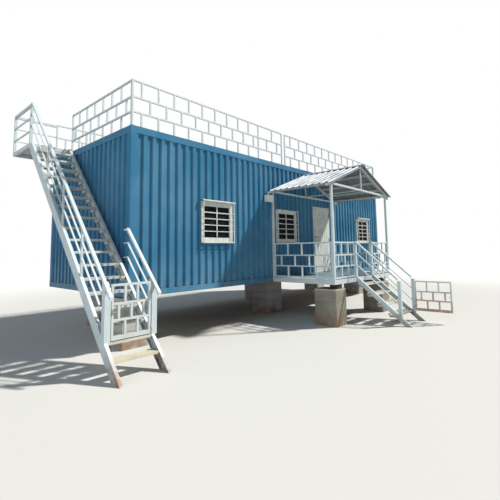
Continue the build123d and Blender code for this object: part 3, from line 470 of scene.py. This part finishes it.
def solidBoxes(nodeName):
    # The lowest and highest corners of each separate solid in a node
    mesh = nodes[nodeName].data
    keys = [tuple(round(value, 5) for value in vertex.co) for vertex in mesh.vertices]
    group = {key: key for key in keys}

    def root(key):
        while group[key] != key:
            group[key] = group[group[key]]
            key = group[key]
        return key

    for polygon in mesh.polygons:
        first = root(keys[polygon.vertices[0]])
        for index in polygon.vertices[1:]:
            group[root(keys[index])] = first
    found = {}
    for key in group:
        found.setdefault(root(key), []).append(key)
    boxes = [boxAround(points) for points in found.values()]
    return sorted(boxes, key=lambda pair: tuple(round(value, 3) for value in pair[0]))


# Windows: a sash and flat bars over the glass, a cage that stands off them, a sill and a hood lip
windowDetail = dict(
    rows=5, bar=0.016, mullion=0.026, depth=0.014, stand=0.004, barInset=0.001, barRound=0.002,
    sashLeft=0.012, sashRight=0.038, sashFoot=0.020, sashHead=0.045,
    cage=0.008, cageInset=0.002, cageDepth=0.010, cageUpright=0.014, cageRound=0.001,
    sill=0.030, sillReach=0.030, sillLap=0.012, sillRound=0.004,
)
hoodDetail = dict(lip=0.020, thickness=0.003, lap=0.001, round=0.001)
grilleBoxes = solidBoxes("window_grilles")
paneBoxes = solidBoxes("window_panes")
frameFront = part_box("window_frames")[0].y
bars = Shape()
cage = Shape()
sills = Shape()


def addWindow(detail, low, high, paneLow, paneHigh):
    front = frameFront + detail["stand"]
    back = front + detail["depth"]
    left, right = paneLow.x + detail["sashLeft"], paneHigh.x - detail["sashRight"]
    foot, head = paneLow.z + detail["sashFoot"], paneHigh.z - detail["sashHead"]
    for start, end in ((paneLow.x, left), (right, paneHigh.x)):
        bars.block((start, front, paneLow.z), (end, paneLow.y, paneHigh.z))
    for start, end in ((paneLow.z, foot), (head, paneHigh.z)):
        bars.block((left, front, start), (right, paneLow.y, end))
    mullionLeft = (left + right - detail["mullion"]) / 2
    mullionRight = (left + right + detail["mullion"]) / 2
    bars.block((mullionLeft, front, foot), (mullionRight, back, head))
    inset, depth, upright = detail["cageInset"], detail["cageDepth"], detail["cageUpright"]
    for row in range(1, detail["rows"]):
        z = foot + (head - foot) * row / detail["rows"]
        under, over = z - detail["bar"] / 2, z + detail["bar"] / 2
        for start, end in ((left, mullionLeft), (mullionRight, right)):
            bars.block((start, front + detail["barInset"], under), (end, back - detail["barInset"], over))
        under, over = z - detail["cage"] / 2, z + detail["cage"] / 2
        cage.block((low.x + upright, low.y + inset, under), (high.x - upright, low.y + inset + depth, over))
        for start in (low.x + inset, high.x - inset - depth):
            cage.block((start, low.y + upright, under), (start + depth, frameFront, over))
    lap = detail["sillLap"]
    reach = frameFront - detail["sillReach"]
    sills.block((low.x - lap, reach, low.z), (high.x + lap, frameFront, low.z + detail["sill"]))


for grilleBox, paneBox in zip(grilleBoxes, paneBoxes):
    addWindow(windowDetail, *grilleBox, *paneBox)
bars.finish("window_bars", "frame_white", "cabin", windowDetail["barRound"])
cage.finish("window_cage", "grille_paint", "cabin", windowDetail["cageRound"])
sills.finish("window_sills", "frame_white", "cabin", windowDetail["sillRound"])
lips = Shape()
for low, high in solidBoxes("window_hoods"):
    lipTop = low.z + hoodDetail["lap"]
    lips.block((low.x, low.y, low.z - hoodDetail["lip"]), (high.x, low.y + hoodDetail["thickness"], lipTop))
lips.finish("hood_lips", slotOf["window_hoods"], "cabin", hoodDetail["round"])
print("windows", len(grilleBoxes))

# Stair treads: grip ribs, bolted cleats under each end, and bolt heads on the stringers' outer faces
treadDetail = dict(
    cleat=0.045, plate=0.005, cleatInset=0.02, bolt=0.011, boltShares=(0.42, 0.78), round=0.001,
    grips=5, grip=0.007, gripHeight=0.003, gripStart=0.014, gripStep=0.022, gripEnd=0.05,
)


def dressStair(detail, prefix):
    cleats = Shape()
    heads = Shape()
    grips = Shape()
    stringers = solidBoxes(prefix + "_stringers")
    outerFaces = ((min(box[0].x for box in stringers), -1), (max(box[1].x for box in stringers), 1))
    crown = detail["bolt"] * boltCrown
    boltFaces = [(x, way) for x, way in outerFaces if x - crown >= cadBox[0][0]]  # none past the outer edge
    leg, plate = detail["cleat"], detail["plate"]
    for low, high in solidBoxes(prefix + "_treads"):
        for row in range(detail["grips"]):
            y = low.y + detail["gripStart"] + row * detail["gripStep"]
            gripLow = (low.x + detail["gripEnd"], y - detail["grip"] / 2, high.z)
            gripHigh = (high.x - detail["gripEnd"], y + detail["grip"] / 2, high.z + detail["gripHeight"])
            grips.block(gripLow, gripHigh)
        front, back = low.y + detail["cleatInset"], high.y - detail["cleatInset"]
        for x, way in ((low.x, 1), (high.x, -1)):
            start, end = sorted((x, x + way * plate))
            cleats.block((start, front, low.z - leg), (end, back, low.z))
            start, end = sorted((x + way * plate, x + way * leg))
            cleats.block((start, front, low.z - plate), (end, back, low.z))
        for x, way in boltFaces:
            for share in detail["boltShares"]:
                y = low.y + (high.y - low.y) * share
                heads.bolt((x, y, low.z - leg * 0.5), (way, 0, 0), detail["bolt"])
    grips.finish(prefix + "_grips", "tread_plate", "cabin", detail["round"])
    cleats.finish(prefix + "_cleats", "steelwork", "cabin", detail["round"])
    heads.finish(prefix + "_bolts", "ironmongery", "cabin")


for prefix in ("roof_stair", "porch_stair"):
    dressStair(treadDetail, prefix)
print("stairs fixed")

# Canopy screws through the sheets' flats, in rows from the ridge down
canopyDetail = dict(pitch=21.0, count=10, size=0.009, rib=0.024, rows=4, firstRow=0.14, rowStep=0.26, flatShare=0.12)
leftLow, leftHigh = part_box("canopy_sheet_left")
screws = Shape()
ridgeX = leftHigh.x
run = ridgeX - leftLow.x
pitch = math.radians(canopyDetail["pitch"])
slope = math.tan(pitch)
flatApex = leftHigh.z - canopyDetail["rib"] / math.cos(pitch)
step = (leftHigh.y - leftLow.y) / canopyDetail["count"]
for side in (-1, 1):
    for row in range(canopyDetail["rows"]):
        reach = run * (canopyDetail["firstRow"] + canopyDetail["rowStep"] * row)
        for index in range(canopyDetail["count"]):
            y = leftLow.y + step * (index + canopyDetail["flatShare"])
            spot = (ridgeX + side * reach, y, flatApex - reach * slope)
            screws.bolt(spot, (side * slope, 0, 1), canopyDetail["size"])
screws.finish("canopy_screws", "ironmongery", "cabin")
print("canopy")

# Foot plates under the roof railing's uprights
railFoot = dict(size=0.058, thickness=0.005, reach=0.001, facingDown=-0.9, round=0.001)
feet = Shape()
for railNode in ("roof_rail_front", "roof_rail_back", "roof_rail_ends"):
    mesh = nodes[railNode].data
    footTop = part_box(railNode)[0].z + railFoot["reach"]
    for polygon in mesh.polygons:
        corners = [mesh.vertices[index].co for index in polygon.vertices]
        if polygon.normal.z <= railFoot["facingDown"] and min(corner.z for corner in corners) <= footTop:
            middle = sum(corners, Vector()) / len(corners)
            half = Vector((railFoot["size"] / 2, railFoot["size"] / 2, 0))
            feet.block(middle - half, middle + half + Vector((0, 0, railFoot["thickness"])))
feet.finish("rail_feet", "steelwork", "cabin", railFoot["round"])

# Base plates of the landing's posts and the porch stair's newels, with bolts beside the newels
plateDetail = dict(thickness=0.008, bolt=0.010, landingLap=0.02, newelLap=0.022, newelSeat=0.02, round=0.0015)
plates = Shape()
plateBolts = Shape()
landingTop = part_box("landing_deck")[1].z
for low, high in solidBoxes("landing_posts"):
    plateHigh = (high.x + plateDetail["landingLap"], high.y, landingTop + plateDetail["thickness"])
    plates.block((low.x, low.y, landingTop), plateHigh)
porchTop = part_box("porch_deck")[1].z
lap = plateDetail["newelLap"]
plateTop = porchTop + plateDetail["thickness"]
for low, high in solidBoxes("porch_stair_newels"):
    if low.z > porchTop - plateDetail["newelSeat"]:  # the upper pair stands on the deck
        plates.block((low.x - lap, low.y, porchTop), (high.x + lap, high.y + lap, plateTop))
        for x in (low.x - lap * 0.5, high.x + lap * 0.5):
            plateBolts.bolt((x, (low.y + high.y) / 2, plateTop), (0, 0, 1), plateDetail["bolt"])
plates.finish("post_plates", "steelwork", "cabin", plateDetail["round"])
plateBolts.finish("post_bolts", "ironmongery", "cabin")
print("plates")

# Box on the wall: a lid with a lip and four screws
boxDetail = dict(
    lid=0.018, lip=0.006, lidRound=0.004, screwInset=0.015, screw=[(0, 0.006), (0.002, 0.006), (0.0035, 0.0035)]
)
boxLow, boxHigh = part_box("wall_box")
lidFront = boxLow.y - boxDetail["lid"]
lip = boxDetail["lip"]
lid = Shape()
lid.block((boxLow.x - lip, lidFront, boxLow.z - lip), (boxHigh.x + lip, boxLow.y, boxHigh.z + lip))
lid.finish("box_lid", "box_plastic", "cabin", boxDetail["lidRound"])
inset = boxDetail["screwInset"]
lidScrews = Shape()
for x in (boxLow.x + inset, boxHigh.x - inset):
    for z in (boxLow.z + inset, boxHigh.z - inset):
        lidScrews.turned((x, lidFront, z), (0, -1, 0), boxDetail["screw"])
lidScrews.finish("box_screws", "ironmongery", "cabin")
print("wall box")

# Lock cylinder below the door's handle: a rose and a plug, each as (distance, radius)
lockDetail = dict(
    inset=0.026, seat=0.006, drop=0.075, roseDepth=0.009,
    rose=[(0, 0.024), (0.006, 0.024), (0.009, 0.020)], plug=[(0, 0.010), (0.006, 0.010), (0.007, 0.008)],
)
leafLow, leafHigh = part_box("door_leaf")
handleLow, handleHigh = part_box("door_handle")
lock = Shape()
lockX, lockZ = handleLow.x + lockDetail["inset"], handleLow.z - lockDetail["drop"]
lockY = leafLow.y + lockDetail["seat"]
lock.turned((lockX, lockY, lockZ), (0, -1, 0), lockDetail["rose"], 20)
lock.turned((lockX, lockY - lockDetail["roseDepth"], lockZ), (0, -1, 0), lockDetail["plug"], 16)
lock.finish("door_lock", "ironmongery", "door")
print("door")

# Slide bolts: each is laid out with its gate shut, then turned about the hinge to where the gate rests
latchDetail = dict(
    plate=0.028, tall=0.090, thick=0.004, rod=0.006, travel=0.070, stand=0.011, inset=0.002, rodInset=0.001,
    keeperShift=0.4, keeperCut=0.3, knob=0.022, knobShare=0.55, round=0.0006,
    knobLine=[(0, 0.0035), (0.7, 0.0035), (0.75, 0.006), (1, 0.006)],
)


def gateLatch(detail, name, nodeName, bodyName, jointName, restTurn):
    hinge = [joint for joint in frame["joints"] if joint["name"] == jointName][0]["pos_m"]
    turn = Matrix.Rotation(math.radians(restTurn), 3, "Z")
    spot = Vector((hinge[0], hinge[1], 0))
    shut = [turn.transposed() @ (vertex.co - spot) for vertex in nodes[nodeName].data.vertices]
    low, high = boxAround(shut)
    middle = (low.z + high.z) / 2
    rodY = low.y - detail["stand"]
    latch = Shape()
    for shift in (0.0, detail["travel"] - detail["plate"] / 2):
        start = low.x + detail["inset"] + shift * detail["keeperShift"]
        half = detail["tall"] / 2 - shift * detail["keeperCut"]
        keeperLow = (start, low.y - detail["thick"], middle - half)
        latch.block(keeperLow, (start + detail["plate"] * 0.5, low.y, middle + half))
    rodLine = [(0, detail["rod"] * 0.8), (0.002, detail["rod"]), (detail["travel"], detail["rod"])]
    latch.turned((low.x + detail["rodInset"], rodY, middle), (1, 0, 0), rodLine, 14)
    knobStart = (low.x + detail["travel"] * detail["knobShare"], rodY, middle)
    knobLine = [(detail["knob"] * share, radius) for share, radius in detail["knobLine"]]
    latch.turned(knobStart, (0, -1, 0), knobLine)
    latch.points = [tuple(turn @ Vector(point) + spot) for point in latch.points]
    latch.finish(name, "ironmongery", bodyName, detail["round"])


gateLatch(latchDetail, "roof_gate_latch", "roof_stair_gate", "roof_gate", "roof_gate_hinge", 0)
gateLatch(latchDetail, "porch_gate_latch", "porch_stair_gate", "porch_gate", "porch_gate_hinge", 93)
print("latches")

# Studio floor: pale, and a little darker around the cabin as painted shade, which also dims the light the floor throws
# back onto the cabin
floorDetail = dict(
    # near is the painted shade around the cabin, far the plain pale floor
    reach=60, near=(0.56, 0.56, 0.55), far=(0.78, 0.78, 0.78), fadeRange=(7.0, 20.0), rough=0.9
)
floorSheet = Finish("pale floor")
fromCabin = floorSheet.node("ShaderNodeVectorMath", {"operation": "LENGTH"}, {0: floorSheet.place}, "Value")
faded = floorSheet.between(fromCabin, *floorDetail["fadeRange"])
floorTone = floorSheet.mix(faded, floorDetail["near"], floorDetail["far"])
reach = floorDetail["reach"]
floorMesh = bpy.data.meshes.new("floor")
floorCorners = [(-reach, -reach, 0), (reach, -reach, 0), (reach, reach, 0), (-reach, reach, 0)]
floorMesh.from_pydata(floorCorners, [], [(0, 1, 2, 3)])
floorMesh.materials.append(floorSheet.surface({"Base Color": floorTone, "Roughness": floorDetail["rough"]}))
floor = bpy.data.objects.new("floor", floorMesh)
bpy.context.collection.objects.link(floor)

# Sky: white where the camera sees it, and a weaker blue where it lights the cabin
skyDetail = dict(light=(0.80, 0.91, 1.0), seen=(1, 1, 1), strength=0.20, seenStrength=1.0)
world = bpy.data.worlds.new("studio")
bpy.context.scene.world = world
sky = Sheet(world, "ShaderNodeOutputWorld")
seen = sky.node("ShaderNodeLightPath", {}, {}, "Is Camera Ray")
strengths = {"Value": seen, "To Min": skyDetail["strength"], "To Max": skyDetail["seenStrength"]}
skyStrength = sky.node("ShaderNodeMapRange", {}, strengths)
skyColour = sky.mix(seen, skyDetail["light"], skyDetail["seen"])
sky.close(sky.node("ShaderNodeBackground", {}, {"Color": skyColour, "Strength": skyStrength}))

# A key lamp from the right, and a wide soft fill on the end wall
lamps = dict(
    key=dict(energy=5.4, angle=3.0, aim=(-0.555, 0.42, -0.715), colour=(1.0, 0.96, 0.88)),
    fill=dict(energy=1.15, angle=70.0, aim=(0.9, -0.12, -0.40), colour=(0.84, 0.93, 1.0)),
)
for lampName, lamp in lamps.items():
    lampData = bpy.data.lights.new(lampName, "SUN")
    lampData.energy = lamp["energy"]
    lampData.color = lamp["colour"]
    lampData.angle = math.radians(lamp["angle"])
    hung = bpy.data.objects.new(lampName, lampData)
    hung.rotation_mode = "QUATERNION"
    hung.rotation_quaternion = Vector(lamp["aim"]).to_track_quat("-Z", "Y")
    bpy.context.collection.objects.link(hung)
print("lamps", len(lamps))

# The camera of the photograph, with its turns in radians
cameraDetail = dict(
    spot=(-8.040, -5.8294, 1.710), yaw=0.8352, pitch=0.0967, roll=-0.015, lens=26.38, sensor=36, shift=-0.0713, far=300
)
cameraData = bpy.data.cameras.new("camera")
cameraData.lens = cameraDetail["lens"]
cameraData.sensor_width = cameraDetail["sensor"]
cameraData.shift_y = cameraDetail["shift"]
cameraData.clip_end = cameraDetail["far"]
camera = bpy.data.objects.new("camera", cameraData)
bpy.context.collection.objects.link(camera)
cosYaw, sinYaw = math.cos(cameraDetail["yaw"]), math.sin(cameraDetail["yaw"])
cosPitch, sinPitch = math.cos(cameraDetail["pitch"]), math.sin(cameraDetail["pitch"])
cosRoll, sinRoll = math.cos(cameraDetail["roll"]), math.sin(cameraDetail["roll"])
forward = Vector((sinYaw * cosPitch, cosYaw * cosPitch, sinPitch))
level = Vector((cosYaw, -sinYaw, 0))
above = level.cross(forward)
right = level * cosRoll + above * sinRoll
up = above * cosRoll - level * sinRoll
turned = Matrix((right, up, -forward)).transposed().to_4x4()
camera.matrix_world = Matrix.Translation(cameraDetail["spot"]) @ turned
bpy.context.scene.camera = camera
bpy.context.scene.view_settings.view_transform = "Standard"
print("camera")

bpy.context.view_layer.update()
